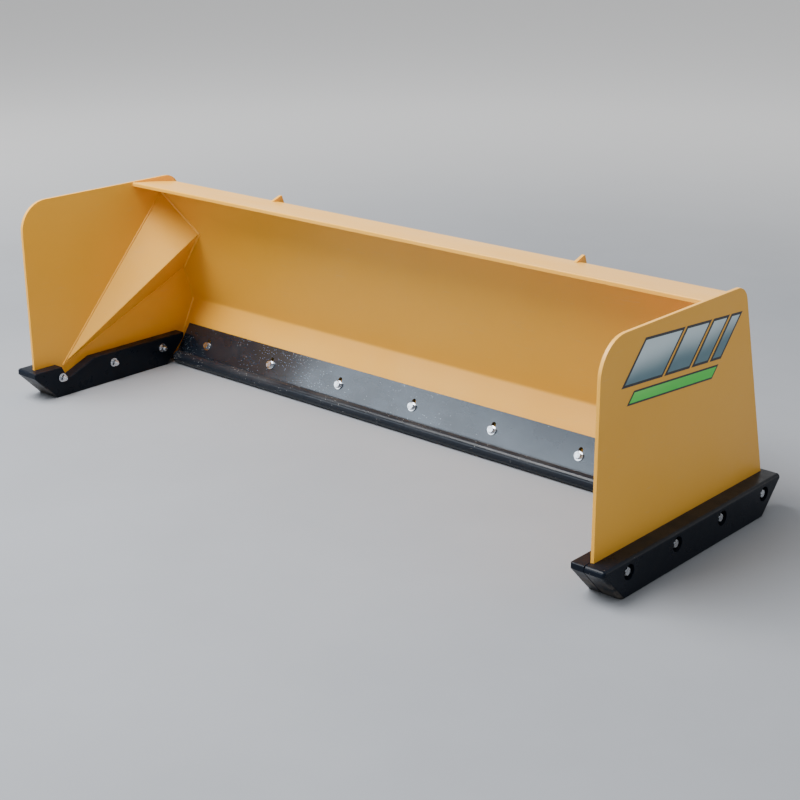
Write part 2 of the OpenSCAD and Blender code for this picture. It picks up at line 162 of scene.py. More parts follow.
class ShoeSettings(bpy.types.PropertyGroup):
    """Plastic skid shoes"""

    colour: FloatVectorProperty(
        name="Colour", description="Colour of the clean plastic",
        subtype="COLOR", size=3, min=0, max=1, default=(0.0022, 0.0048, 0.0105))
    scuff_colour: FloatVectorProperty(
        name="Scuff Colour", description="Colour of the scuffed ramp",
        subtype="COLOR", size=3, min=0, max=1, default=(0.11, 0.095, 0.08))
    edge_radius: FloatProperty(
        name="Edge Radius", description="Rounding of the outer edges",
        unit="LENGTH", min=0.002, max=0.012, default=0.009, precision=4)
    inner_radius: FloatProperty(
        name="Inner Radius", description="Rounding of the inner half's face and its notch",
        unit="LENGTH", min=0.001, max=0.008, default=0.004, precision=4)
    nose_reach: FloatProperty(
        name="Nose Reach", description="Length of the ramped nose at each end",
        unit="LENGTH", min=0.05, max=0.12, default=0.08)
    seam_radius: FloatProperty(
        name="Seam Radius", description="Rounding of the outer half where it meets the inner one",
        unit="LENGTH", min=0.0005, max=0.004, default=0.003, precision=4)


class EdgeSettings(bpy.types.PropertyGroup):
    """Black paint of the cutting edge"""

    colour: FloatVectorProperty(
        name="Colour", description="Colour of the black paint",
        subtype="COLOR", size=3, min=0, max=1, default=(0.010, 0.013, 0.019))
    dust_colour: FloatVectorProperty(
        name="Dust Colour", description="Colour of the dust and grit on it",
        subtype="COLOR", size=3, min=0, max=1, default=(0.50, 0.49, 0.47))
    edge_radius: FloatProperty(
        name="Edge Radius", description="Rounding of the cut edges of the plate and the pipe",
        unit="LENGTH", min=0.0002, max=0.002, default=0.0008, precision=4)
    plate_roughness: FloatProperty(
        name="Plate Roughness", description="Roughness of the slotted plate",
        subtype="FACTOR", min=0, max=1, default=0.25)
    plate_gloss: FloatProperty(
        name="Plate Gloss", description="Strength of the clear gloss over the plate",
        subtype="FACTOR", min=0, max=1, default=1.0)
    pipe_gloss: FloatProperty(
        name="Pipe Gloss", description="Strength of the clear gloss over the pipe",
        subtype="FACTOR", min=0, max=1, default=0.05)
    gloss_tint: FloatVectorProperty(
        name="Gloss Tint", description="Tint of the clear gloss",
        subtype="COLOR", size=3, min=0, max=1, default=(0.72, 0.86, 1.0))
    pipe_roughness: FloatProperty(
        name="Pipe Roughness", description="Roughness of the pipe",
        subtype="FACTOR", min=0, max=1, default=0.20)


class FastenerSettings(bpy.types.PropertyGroup):
    """Zinc plated bolts, washers and nuts"""

    colour: FloatVectorProperty(
        name="Colour", description="Colour of the zinc plating",
        subtype="COLOR", size=3, min=0, max=1, default=(0.74, 0.76, 0.80))
    bolt_diameter: FloatProperty(
        name="Bolt Diameter", description="Outside diameter of the thread",
        unit="LENGTH", min=0.01, max=0.016, default=0.0127, precision=4)
    head_flats: FloatProperty(
        name="Across Flats", description="Hexagon size across its flats",
        unit="LENGTH", min=0.016, max=0.022, default=0.019, precision=4)
    head_height: FloatProperty(
        name="Head Height", description="Height of a bolt head",
        unit="LENGTH", min=0.006, max=0.012, default=0.0087, precision=4)
    thread_pitch: FloatProperty(
        name="Thread Pitch", description="Distance from one thread crest to the next",
        unit="LENGTH", min=0.001, max=0.003, default=0.00195, precision=5)
    thread_length: FloatProperty(
        name="Thread Length", description="Length of the thread at the end of a bolt",
        unit="LENGTH", min=0.01, max=0.04, default=0.026, precision=4)
    washer_radius: FloatProperty(
        name="Washer Edge", description="Rounding of a washer's edges",
        unit="LENGTH", min=0.0001, max=0.001, default=0.0005, precision=4)


class GraphicSettings(bpy.types.PropertyGroup):
    """Plain striped sticker on the right side plate"""

    bars: IntProperty(
        name="Bars", description="Number of silver bars", min=2, max=8, default=4)
    first_width: FloatProperty(
        name="First Width", description="Width of the front bar, the widest",
        unit="LENGTH", min=0.04, max=0.2, default=0.15)
    narrowing: FloatProperty(
        name="Narrowing", description="Width of each bar as a share of the one ahead of it",
        subtype="FACTOR", min=0.3, max=1, default=0.62)
    height: FloatProperty(
        name="Height", description="Height of the bars",
        unit="LENGTH", min=0.04, max=0.12, default=0.088)
    lean: FloatProperty(
        name="Lean", description="Run of a bar's slanted ends for each metre of height",
        min=0, max=2, default=0.9)
    rim: FloatProperty(
        name="Rim", description="Dark rim round each bar",
        unit="LENGTH", min=0.002, max=0.015, default=0.006, precision=4)
    stripe_colour: FloatVectorProperty(
        name="Stripe Colour", description="Colour of the lower stripe",
        subtype="COLOR", size=3, min=0, max=1, default=(0.06, 0.66, 0.06))


class StageSettings(bpy.types.PropertyGroup):
    """Floor, light and camera"""

    floor_colour: FloatVectorProperty(
        name="Floor Colour", description="Colour of the plain pale floor",
        subtype="COLOR", size=3, min=0, max=1, default=(0.26, 0.275, 0.30))
    # The paler far floor is painted light, not a change in the floor itself
    painted_far_light_colour: FloatVectorProperty(
        name="Far Colour", description="Colour that the floor fades to far from the object",
        subtype="COLOR", size=3, min=0, max=1, default=(0.80, 0.80, 0.80))
    floor_size: FloatProperty(
        name="Floor Size", description="Side of the square floor",
        unit="LENGTH", min=10, max=200, default=90)
    sky_strength: FloatProperty(
        name="Sky Strength", description="Brightness of the light from all round",
        min=0, max=5, default=0.65)
    overhead_power: FloatProperty(
        name="Overhead Power", description="Power of the soft lamp overhead",
        unit="POWER", min=0, max=2000, default=700)
    front_power: FloatProperty(
        name="Front Power",
        description="Power of the soft lamp ahead, which the cutting edge mirrors",
        unit="POWER", min=0, max=2000, default=120)
    front_colour: FloatVectorProperty(
        name="Front Colour", description="Colour of the soft lamp ahead",
        subtype="COLOR", size=3, min=0, max=1, default=(0.84, 0.92, 1.0))
    camera_place: FloatVectorProperty(
        name="Camera Place", description="Where the camera stands",
        subtype="TRANSLATION", size=3, default=(2.9227, -3.0824, 1.6465))
    camera_azimuth: FloatProperty(
        name="Azimuth", description="Turn of the camera round the object from the front",
        subtype="ANGLE", default=radians(42.04))
    camera_elevation: FloatProperty(
        name="Elevation", description="How far the camera looks down",
        subtype="ANGLE", default=radians(19.496))
    camera_roll: FloatProperty(
        name="Roll", description="Tilt of the camera about its own axis",
        subtype="ANGLE", default=radians(-0.39))
    lens: FloatProperty(
        name="Lens", description="Focal length for a 36 mm wide sensor",
        min=20, max=200, default=71.04)


# ---- selecting and finishing ----

def activate(piece):
    """Makes a piece the only selected one."""
    if bpy.context.object and bpy.context.object.mode != "OBJECT":
        bpy.ops.object.mode_set(mode="OBJECT")
    bpy.ops.object.select_all(action="DESELECT")
    piece.select_set(True)
    bpy.context.view_layer.objects.active = piece


def edit(piece, kind="VERT"):
    """Opens a piece in edit mode with nothing selected."""
    activate(piece)
    bpy.ops.object.mode_set(mode="EDIT")
    bpy.ops.mesh.select_mode(type=kind)
    bpy.ops.mesh.select_all(action="DESELECT")


def leave_edit():
    bpy.ops.object.mode_set(mode="OBJECT")


def pick_edges(piece, wanted):
    """Opens a piece in edit mode with the creases selected whose ends satisfy wanted(a, b)."""
    edit(piece, "EDGE")
    bpy.ops.mesh.edges_select_sharp(sharpness=CREASE_ANGLE)
    leave_edit()
    mesh = piece.data
    creases = [edge.index for edge in mesh.edges if edge.select]
    edit(piece, "EDGE")
    leave_edit()
    for index in creases:
        a, b = (mesh.vertices[i].co for i in mesh.edges[index].vertices)
        mesh.edges[index].select = bool(wanted(a, b))
    bpy.ops.object.mode_set(mode="EDIT")


def edit_all(piece):
    """Opens a piece in edit mode with all of it selected."""
    edit(piece)
    bpy.ops.mesh.select_all(action="SELECT")


def face_outwards(piece):
    """Turns all of a closed piece's faces outwards."""
    edit_all(piece)
    bpy.ops.mesh.normals_make_consistent(inside=False)
    leave_edit()


def apply_modifier(piece, kind, **values):
    """Adds one modifier with these values and applies it."""
    activate(piece)
    bpy.ops.object.modifier_add(type=kind)
    modifier = piece.modifiers[-1]
    for name, value in values.items():
        setattr(modifier, name, value)
    bpy.ops.object.modifier_apply(modifier=modifier.name)


def round_all(piece, radius, segments=2, angle=SHARP_ANGLE):
    """Rounds every edge sharper than the angle."""
    apply_modifier(piece, "BEVEL", width=radius, segments=segments,
                   limit_method="ANGLE", angle_limit=angle, use_clamp_overlap=True)


def round_picked(piece, wanted, radius, segments):
    """Rounds the edges whose ends satisfy wanted(a, b)."""
    pick_edges(piece, wanted)
    bpy.ops.mesh.bevel(offset=radius, segments=segments, profile=0.5, affect="EDGES")
    leave_edit()


def shade(piece, angle=SHARP_ANGLE):
    """Smooth shading that keeps the flat faces flat."""
    activate(piece)
    bpy.ops.object.shade_smooth_by_angle(angle=angle)
    apply_modifier(piece, "WEIGHTED_NORMAL", keep_sharp=True)


def settle(piece):
    """Puts a piece's place into its mesh and its object at the origin."""
    activate(piece)
    bpy.ops.object.transform_apply(location=True, rotation=True, scale=True)


def join(pieces, name):
    """Joins several objects into one piece."""
    activate(pieces[0])
    for piece in pieces[1:]:
        piece.select_set(True)
    if len(pieces) > 1:
        bpy.ops.object.join()
    joined = bpy.context.object
    joined.name = name
    return joined


def finish(piece, body, slot, material, *nodes):
    """Gives a piece its material and body, and hides the CAD nodes that it stands for. Its slot is
    not used.
    """
    piece.data.materials.clear()
    piece.data.materials.append(material)
    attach(piece, body)
    if nodes:
        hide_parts(*nodes)


def free_copy(node, name):
    """A copy of a CAD node's mesh, merged, with each flat face in one piece."""
    activate(frame["nodes"][node])
    bpy.ops.object.duplicate()
    piece = bpy.context.object
    piece.name = name
    piece.parent = None
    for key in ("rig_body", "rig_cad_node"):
        del piece[key]
    edit_all(piece)
    bpy.ops.mesh.customdata_custom_splitnormals_clear()
    bpy.ops.mesh.remove_doubles(threshold=MERGE_DISTANCE)
    bpy.ops.mesh.dissolve_limited(angle_limit=FLAT_ANGLE)
    leave_edit()
    return piece


def loose_parts(node):
    """Copies of the separate solids in a CAD node, from low to high X, Y and Z."""
    edit_all(free_copy(node, node + "_solid"))
    bpy.ops.mesh.separate(type="LOOSE")
    leave_edit()
    parts = list(bpy.context.selected_objects)
    return sorted(parts, key=lambda part: tuple(round(c, 4) for c in middle(part)))


def middle(piece):
    """Middle of a piece's box."""
    corners = [Vector(c) for c in piece.bound_box]
    return (corners[0] + corners[6]) / 2


def reach_along(piece, axis):
    """Lowest and highest place of a piece's vertices along an axis through its middle."""
    centre = middle(piece)
    places = [(v.co - centre).dot(axis) for v in piece.data.vertices]
    return min(places), max(places)


def remove(pieces):
    for piece in pieces:
        activate(piece)
        bpy.ops.object.delete()


def aimed(place, axis):
    """Turn and place that carry +Z onto an axis at a place."""
    return Matrix.Translation(place) @ axis.to_track_quat("Z", "Y").to_matrix().to_4x4()


def placed_copy(master, name, matrix):
    """A copy of a master with its own mesh, carried to a place that goes into the mesh."""
    activate(master)
    bpy.ops.object.duplicate()
    piece = bpy.context.object
    piece.name = name
    piece.matrix_world = matrix
    settle(piece)
    return piece


# ---- moldboard geometry, worked out from the frame ----

def profile_points():
    """Foot, crease and top of the moldboard's front face, as (y, z)."""
    plates = bpy.context.scene.pusher_plates
    vertices = frame["nodes"]["moldboard"].data.vertices
    points = {(round(v.co.y, 6), round(v.co.z, 6)) for v in vertices}
    low_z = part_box("moldboard")[0].z
    foot = min(p for p in points if p[1] < low_z + FOOT_BAND)
    top = min(points)
    # The strip rises from the foot and the panel falls from the top until they meet
    strip_run = 1 / tan(plates.strip_angle)
    panel_run = -tan(plates.panel_lean)
    apart = top[0] - foot[0] + foot[1] * strip_run - top[1] * panel_run
    crease_z = apart / (strip_run - panel_run)
    crease_y = foot[0] + (crease_z - foot[1]) * strip_run
    return foot, (crease_y, crease_z), top


def strip_normal():
    """Outward normal of the lower strip."""
    angle = bpy.context.scene.pusher_plates.strip_angle
    return Vector((0, -sin(angle), cos(angle)))


def sheet_back_at(z):
    """Y of the moldboard panel's rear face at a height."""
    plates = bpy.context.scene.pusher_plates
    _, crease, _ = profile_points()
    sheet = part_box("moldboard")[1].y - crease[0]
    return crease[0] - (z - crease[1]) * tan(plates.panel_lean) + sheet


def brace_corners(side):
    """Outer corners of a brace: tip, upper corner, end of the ridge and lower corner."""
    sign = SIDES[side]
    points = [v.co.copy() for v in frame["nodes"][side + "_corner_brace"].data.vertices]
    tip = min(points, key=lambda p: p.y)
    top = max(points, key=lambda p: p.z)
    ridge = min(points, key=lambda p: sign * p.x)
    wall_x = sign * max(sign * p.x for p in points)
    on_wall = [p for p in points if abs(p.x - wall_x) < TOUCH and p.y > 0]
    low = min(on_wall, key=lambda p: p.z)
    return tip, top, ridge, low


# ---- node trees ----

# Places of a colour Mix node's share and two colours, and of its result
MIX_INPUTS = (0, 6, 7)
MIX_RESULT = 2


def feed(tree, socket, value):
    """Links a socket to another one, or sets its value."""
    if isinstance(value, bpy.types.NodeSocket):
        tree.links.new(value, socket)
    else:
        socket.default_value = value


def add_node(tree, kind, inputs=None, **values):
    """Adds a node, sets its values, and sets or links its inputs."""
    made = tree.nodes.new(kind)
    for name, value in values.items():
        setattr(made, name, value)
    for key, value in (inputs or {}).items():
        feed(tree, made.inputs[key], value)
    return made


def math_node(tree, operation, a, b=0.0, clamp=False):
    """Result of one sum on two values or sockets."""
    made = add_node(tree, "ShaderNodeMath", {0: a, 1: b}, operation=operation, use_clamp=clamp)
    return made.outputs[0]


def times(tree, a, b, clamp=False):
    """Product of two values or sockets."""
    return math_node(tree, "MULTIPLY", a, b, clamp)


def ramp(tree, value, low, high):
    """Smooth step of a value from low to high."""
    made = add_node(tree, "ShaderNodeMapRange",
                    {"Value": value, "From Min": low, "From Max": high},
                    interpolation_type="SMOOTHSTEP")
    return made.outputs["Result"]


def axis_of(tree, vector, axis):
    """X, Y or Z of a vector."""
    return add_node(tree, "ShaderNodeSeparateXYZ", {0: vector}).outputs[axis]


def surface_normal(tree):
    return add_node(tree, "ShaderNodeNewGeometry").outputs["Normal"]


def mix_colour(tree, share, a, b):
    """Colour a turning into colour b."""
    made = add_node(tree, "ShaderNodeMix", data_type="RGBA")
    for place, value in zip(MIX_INPUTS, (share, a, b)):
        feed(tree, made.inputs[place], value)
    return made.outputs[MIX_RESULT]


def noise(tree, vector, scale, detail=2.0, roughness=0.5):
    made = add_node(tree, "ShaderNodeTexNoise",
                    {"Vector": vector, "Scale": scale, "Detail": detail, "Roughness": roughness})
    return made.outputs["Fac"]


def new_group(name, inputs, outputs):
    """Empty shader node group: its inputs are Vector and those given. Returns its two ends too."""
    group = bpy.data.node_groups.new(name, "ShaderNodeTree")
    group.interface.new_socket("Vector", in_out="INPUT", socket_type="NodeSocketVector")
    for socket_name, kind, default in inputs:
        socket = group.interface.new_socket(socket_name, in_out="INPUT", socket_type=kind)
        if default is not None:
            socket.default_value = default
    for socket_name, kind in outputs:
        group.interface.new_socket(socket_name, in_out="OUTPUT", socket_type=kind)
    given = group.nodes.new("NodeGroupInput").outputs
    return group, given, group.nodes.new("NodeGroupOutput").inputs


def once(store, name, build):
    """A node group or material, built the first time it is asked for."""
    return store.get(name) or build(name)


# ---- patterns that several materials share ----

def build_pebbles(name):
    """Orange peel: fine grains on a wider swell, which is stronger with Waviness."""
    group, given, out = new_group(
        name,
        [("Size", "NodeSocketFloat", 0.002), ("Waviness", "NodeSocketFloat", 0.3)],
        [("Height", "NodeSocketFloat")])
    fine_scale = math_node(group, "DIVIDE", 1.0, given["Size"])
    fine = noise(group, given["Vector"], fine_scale, detail=2.0)
    wide_scale = math_node(group, "DIVIDE", 0.08, given["Size"])
    wide = noise(group, given["Vector"], wide_scale, detail=1.0)
    swell = times(group, wide, given["Waviness"])
    group.links.new(math_node(group, "ADD", fine, swell), out["Height"])
    return group


def build_dust(name):
    """Cloudy film on the faces that look up, and specks in patches. Both are rougher."""
    group, given, out = new_group(
        name,
        [("Colour", "NodeSocketColor", None), ("Dust Colour", "NodeSocketColor", None),
         ("Film", "NodeSocketFloat", 0.1), ("Specks", "NodeSocketFloat", 0.3),
         ("Speck Size", "NodeSocketFloat", 0.003), ("Roughness", "NodeSocketFloat", 0.4)],
        [("Colour", "NodeSocketColor"), ("Roughness", "NodeSocketFloat"),
         ("Mask", "NodeSocketFloat")])
    place = given["Vector"]
    upward = ramp(group, axis_of(group, surface_normal(group), "Z"), -0.2, 0.9)
    cloud = ramp(group, noise(group, place, 3.1, detail=4.0, roughness=0.6), 0.38, 0.7)
    film = times(group, times(group, cloud, given["Film"]), upward)
    cells = math_node(group, "DIVIDE", 1.0, given["Speck Size"])
    cell = add_node(group, "ShaderNodeTexVoronoi", {"Vector": place, "Scale": cells})
    dot = math_node(group, "SUBTRACT", 1.0, ramp(group, cell.outputs["Distance"], 0.10, 0.24))
    chance = add_node(group, "ShaderNodeSeparateColor", {0: cell.outputs["Color"]}).outputs[0]
    patch = ramp(group, noise(group, place, 7.0, detail=3.0), 0.42, 0.66)
    few = math_node(group, "LESS_THAN", chance, times(group, patch, given["Specks"]))
    specks = times(group, dot, few)
    mask = math_node(group, "MAXIMUM", film, specks, clamp=True)
    dusty = mix_colour(group, mask, given["Colour"], given["Dust Colour"])
    rough = math_node(group, "ADD", given["Roughness"], times(group, mask, 0.45), clamp=True)
    for key, value in (("Colour", dusty), ("Roughness", rough), ("Mask", mask)):
        group.links.new(value, out[key])
    return group


def build_smudges(name):
    """Cloudy patches, longer sideways, where the surface is duller or glossier."""
    group, given, out = new_group(
        name,
        [("Roughness", "NodeSocketFloat", 0.4), ("Strength", "NodeSocketFloat", 0.1),
         ("Size", "NodeSocketFloat", 0.15)],
        [("Roughness", "NodeSocketFloat"), ("Mask", "NodeSocketFloat")])
    scale = math_node(group, "DIVIDE", 1.0, given["Size"])
    stretched = add_node(group, "ShaderNodeMapping",
                         {"Vector": given["Vector"], "Scale": (0.45, 1.0, 1.0)})
    cloud = noise(group, stretched.outputs[0], scale, detail=5.0, roughness=0.62)
    mask = ramp(group, cloud, 0.35, 0.68)
    change = times(group, math_node(group, "SUBTRACT", mask, 0.5), given["Strength"])
    rough = math_node(group, "ADD", given["Roughness"], change, clamp=True)
    group.links.new(rough, out["Roughness"])
    group.links.new(mask, out["Mask"])
    return group


def build_scratches(name):
    """Thin streaks in patches. They run along the axis with the smallest Scale."""
    group, given, out = new_group(
        name,
        [("Scale", "NodeSocketVector", (1.0, 1.0, 1.0)), ("Amount", "NodeSocketFloat", 0.3)],
        [("Mask", "NodeSocketFloat")])
    laid = add_node(group, "ShaderNodeMapping",
                    {"Vector": given["Vector"], "Scale": given["Scale"]})
    streak = noise(group, laid.outputs[0], 60.0, detail=3.0, roughness=0.7)
    line = ramp(group, streak, 0.60, 0.68)
    patch = ramp(group, noise(group, given["Vector"], 9.0, detail=2.0), 0.40, 0.62)
    mask = times(group, times(group, line, patch), given["Amount"], clamp=True)
    group.links.new(mask, out["Mask"])
    return group


def build_edge_wear(name):
    """Broken line along sharp edges, found by how far the rounded normal turns."""
    group, given, out = new_group(
        name,
        [("Radius", "NodeSocketFloat", 0.003), ("Amount", "NodeSocketFloat", 0.5)],
        [("Mask", "NodeSocketFloat")])
    worn = add_node(group, "ShaderNodeBevel", {"Radius": given["Radius"]}, samples=4)
    turn = add_node(group, "ShaderNodeVectorMath", {0: worn.outputs[0], 1: surface_normal(group)},
                    operation="DOT_PRODUCT").outputs["Value"]
    edge = ramp(group, math_node(group, "SUBTRACT", 1.0, turn), 0.01, 0.16)
    grain = noise(group, given["Vector"], 55.0, detail=4.0, roughness=0.65)
    broken = ramp(group, grain, 0.30, 0.62)
    mask = times(group, times(group, edge, broken), given["Amount"], clamp=True)
    group.links.new(mask, out["Mask"])
    return group


PATTERNS = {
    "Pebbles": build_pebbles, "Dust": build_dust, "Smudges": build_smudges,
    "Scratches": build_scratches, "Edge Wear": build_edge_wear,
}


def pattern(tree, name, place, **inputs):
    """Places a shared pattern in a material: speck_size=0.004 sets its Speck Size."""
    values = {key.replace("_", " ").title(): value for key, value in inputs.items()}
    group = once(bpy.data.node_groups, name, PATTERNS[name])
    return add_node(tree, "ShaderNodeGroup", {"Vector": place, **values}, node_tree=group).outputs


# ---- materials ----

def new_material(name):
    """Material with a Principled BSDF, and the Object coordinates that its patterns follow."""
    material = bpy.data.materials.new(name)
    material.use_nodes = True
    tree = material.node_tree
    place = tree.nodes.new("ShaderNodeTexCoord").outputs["Object"]
    return material, tree, tree.nodes["Principled BSDF"], place


def bump(tree, shader, height, strength, distance):
    made = add_node(tree, "ShaderNodeBump",
                    {"Height": height, "Strength": strength, "Distance": distance})
    tree.links.new(made.outputs[0], shader.inputs["Normal"])


def solid(colour):
    return (*colour, 1.0)


# Colours of dust and wear that stay the same whatever the settings are
PAINT_DUST = (0.70, 0.52, 0.34, 1)
PAINT_SCRATCH = (0.66, 0.44, 0.20, 1)
PLASTIC_DUST = (0.20, 0.18, 0.16, 1)
PLASTIC_WORN = (0.020, 0.027, 0.042, 1)
BLACK_WORN = (0.16, 0.15, 0.14, 1)
BLACK_SCRATCH = (0.075, 0.075, 0.078, 1)
ZINC_DULL = (0.50, 0.52, 0.55, 1)


def build_paint(name, thin=0.3):
    """Ochre powder coat: orange peel, cloudy tone, smudges, and lighter where it is thin. A high
    thin share lightens the whole coat as a painted highlight.
    """
    settings = bpy.context.scene.pusher_paint
    clean, light = solid(settings.colour), solid(settings.light_colour)
    material, tree, shader, place = new_material(name)
    shader.inputs["Specular IOR Level"].default_value = 0.34
    cloud = ramp(tree, noise(tree, place, 1.6, detail=5.0, roughness=0.6), 0.3, 0.75)
    share = math_node(tree, "ADD", times(tree, cloud, 0.3), thin - 0.15, clamp=True)
    coat = mix_colour(tree, share, clean, light)
    edge = pattern(tree, "Edge Wear", place, radius=0.0035, amount=0.5)
    coat = mix_colour(tree, edge["Mask"], coat, light)
    smudge = pattern(tree, "Smudges", place, roughness=settings.roughness, strength=0.10, size=0.22)
    dust = pattern(tree, "Dust", place, colour=coat, dust_colour=PAINT_DUST, film=0.10,
                   specks=0.05, speck_size=0.004, roughness=smudge["Roughness"])
    scratch = pattern(tree, "Scratches", place, scale=(0.25, 0.25, 3.0), amount=0.18)
    coat = mix_colour(tree, scratch["Mask"], dust["Colour"], PAINT_SCRATCH)
    tree.links.new(coat, shader.inputs["Base Color"])
    tree.links.new(dust["Roughness"], shader.inputs["Roughness"])
    pebbles = pattern(tree, "Pebbles", place, size=settings.pebble, waviness=1.2)
    bump(tree, shader, pebbles["Height"], strength=0.16, distance=0.0006)
    return material


def build_weld_highlight_paint(name):
    """The same coat, lightened all over a weld bead: a painted highlight, as where the bead's
    crests catch the light.
    """
    # thin=0.95 makes no thinner coat here: it paints the bead's highlight into its colour
    return build_paint(name, thin=0.95)


def build_plastic(name):
    """Blue-black moulded plastic with scuffed ramps."""
    settings = bpy.context.scene.pusher_shoes
    material, tree, shader, place = new_material(name)
    shader.inputs["Specular IOR Level"].default_value = 0.13
    # The ramps are the low faces that look down
    facing_down = times(tree, axis_of(tree, surface_normal(tree), "Z"), -1.0)
    under = ramp(tree, facing_down, 0.25, 0.55)
    low = math_node(tree, "SUBTRACT", 1.0, ramp(tree, axis_of(tree, place, "Z"), 0.035, 0.075))
    scratch = pattern(tree, "Scratches", place, scale=(1.6, 0.35, 0.35), amount=0.9)
    cloud = ramp(tree, noise(tree, place, 38.0, detail=5.0, roughness=0.7), 0.36, 0.66)
    scuffed = times(tree, times(tree, under, low), cloud)
    scuffed = math_node(tree, "MAXIMUM", scuffed, times(tree, scratch["Mask"], under), clamp=True)
    edge = pattern(tree, "Edge Wear", place, radius=0.003, amount=0.28)
    colour = mix_colour(tree, edge["Mask"], solid(settings.colour), PLASTIC_WORN)
    colour = mix_colour(tree, scuffed, colour, solid(settings.scuff_colour))
    smudge = pattern(tree, "Smudges", place, roughness=0.34, strength=0.14, size=0.05)
    dust = pattern(tree, "Dust", place, colour=colour, dust_colour=PLASTIC_DUST, film=0.03,
                   specks=0.10, speck_size=0.0035, roughness=smudge["Roughness"])
    tree.links.new(dust["Colour"], shader.inputs["Base Color"])
    rough = math_node(tree, "ADD", dust["Roughness"], times(tree, scuffed, 0.3), clamp=True)
    tree.links.new(rough, shader.inputs["Roughness"])
    pebbles = pattern(tree, "Pebbles", place, size=0.0011, waviness=0.8)
    height = math_node(tree, "ADD", pebbles["Height"], times(tree, scuffed, 1.5))
    bump(tree, shader, height, strength=0.22, distance=0.0005)
    return material


def build_edge_black(name, roughness, gloss, shine, specks, film):
    """Black sprayed steel with dust and grit on it, more of it towards the left."""
    settings = bpy.context.scene.pusher_edge
    material, tree, shader, place = new_material(name)
    shader.inputs["Specular IOR Level"].default_value = shine
    shader.inputs["Coat Weight"].default_value = gloss
    shader.inputs["Coat Tint"].default_value = solid(settings.gloss_tint)
    shader.inputs["Coat Roughness"].default_value = roughness * 0.7
    smudge = pattern(tree, "Smudges", place, roughness=roughness, strength=0.30, size=0.10)
    leftward = math_node(tree, "SUBTRACT", 1.1, ramp(tree, axis_of(tree, place, "X"), -1.0, 0.1))
    edge = pattern(tree, "Edge Wear", place, radius=0.002, amount=0.35)
    colour = mix_colour(tree, edge["Mask"], solid(settings.colour), BLACK_WORN)
    streak = pattern(tree, "Scratches", place, scale=(0.22, 2.2, 2.2), amount=0.30)
    colour = mix_colour(tree, streak["Mask"], colour, BLACK_SCRATCH)
    dust = pattern(tree, "Dust", place, colour=colour, dust_colour=solid(settings.dust_colour),
                   film=film, specks=times(tree, leftward, specks), speck_size=0.0052,
                   roughness=smudge["Roughness"])
    tree.links.new(dust["Colour"], shader.inputs["Base Color"])
    tree.links.new(dust["Roughness"], shader.inputs["Roughness"])
    pebbles = pattern(tree, "Pebbles", place, size=0.0016, waviness=2.0)
    bump(tree, shader, pebbles["Height"], strength=0.2, distance=0.0006)
    return material


def build_plate_black(name):
    settings = bpy.context.scene.pusher_edge
    return build_edge_black(name, settings.plate_roughness, settings.plate_gloss,
                            shine=0.3, specks=1.1, film=0.06)


def build_pipe_black(name):
    settings = bpy.context.scene.pusher_edge
    return build_edge_black(name, settings.pipe_roughness, settings.pipe_gloss,
                            shine=0.16, specks=0.9, film=0.04)


def build_zinc(name):
    """Bright zinc plating with a faint mottle and dulled patches."""
    settings = bpy.context.scene.pusher_fasteners
    material, tree, shader, place = new_material(name)
    mottle = ramp(tree, noise(tree, place, 240.0, detail=4.0, roughness=0.6), 0.32, 0.7)
    colour = mix_colour(tree, mottle, solid(settings.colour), ZINC_DULL)
    smudge = pattern(tree, "Smudges", place, roughness=0.24, strength=0.16, size=0.006)
    tree.links.new(colour, shader.inputs["Base Color"])
    tree.links.new(smudge["Roughness"], shader.inputs["Roughness"])
    shader.inputs["Metallic"].default_value = 1.0
    pebbles = pattern(tree, "Pebbles", place, size=0.0007, waviness=0.5)
    bump(tree, shader, pebbles["Height"], strength=0.12, distance=0.0002)
    return material


def build_vinyl(name, low_colour, high_colour, low_z, high_z):
    """Printed vinyl, one colour turning into another between two heights, a little unevenly."""
    material, tree, shader, place = new_material(name)
    depth = high_z - low_z
    wave = times(tree, noise(tree, place, 5.0, detail=1.0, roughness=0.3), depth * 0.5)
    height = math_node(tree, "ADD", axis_of(tree, place, "Z"), wave)
    sweep = ramp(tree, height, low_z + depth * 0.15, high_z)
    colour = mix_colour(tree, sweep, solid(low_colour), solid(high_colour))
    tree.links.new(colour, shader.inputs["Base Color"])
    smudge = pattern(tree, "Smudges", place, roughness=0.38, strength=0.10, size=0.03)
    tree.links.new(smudge["Roughness"], shader.inputs["Roughness"])
    return material


FINISHES = {
    # The welds' coat is the ochre coat lightened all over: a painted highlight on the beads
    "Ochre powder coat": build_paint, "Powder coat with painted weld highlight": build_weld_highlight_paint,
    "Shoe plastic": build_plastic, "Edge plate black": build_plate_black,
    "Pipe black": build_pipe_black, "Zinc plating": build_zinc,
}


def coating(name):
    """The material of one finish."""
    return once(bpy.data.materials, name, FINISHES[name])


# ---- pieces ----

class PUSHER_OT_side_plates(bpy.types.Operator):
    """Makes the two side plates, with their cut edges rounded under the paint"""

    bl_idname = "pusher.side_plates"
    bl_label = "Side Plates"

    def execute(self, context):
        for side in SIDES:
            node = side + "_side_plate"
            piece = free_copy(node, side + "_cheek")
            round_all(piece, context.scene.pusher_plates.edge_radius)
            shade(piece)
            finish(piece, "frame", "yellow_paint", coating("Ochre powder coat"), node)
        return {"FINISHED"}


class PUSHER_OT_moldboard(bpy.types.Operator):
    """Makes the pressed moldboard sheet"""

    bl_idname = "pusher.moldboard"
    bl_label = "Moldboard"

    def execute(self, context):
        piece = free_copy("moldboard", "moldboard_sheet")
        round_all(piece, context.scene.pusher_plates.edge_radius)
        shade(piece)
        finish(piece, "frame", "yellow_paint", coating("Ochre powder coat"), "moldboard")
        return {"FINISHED"}


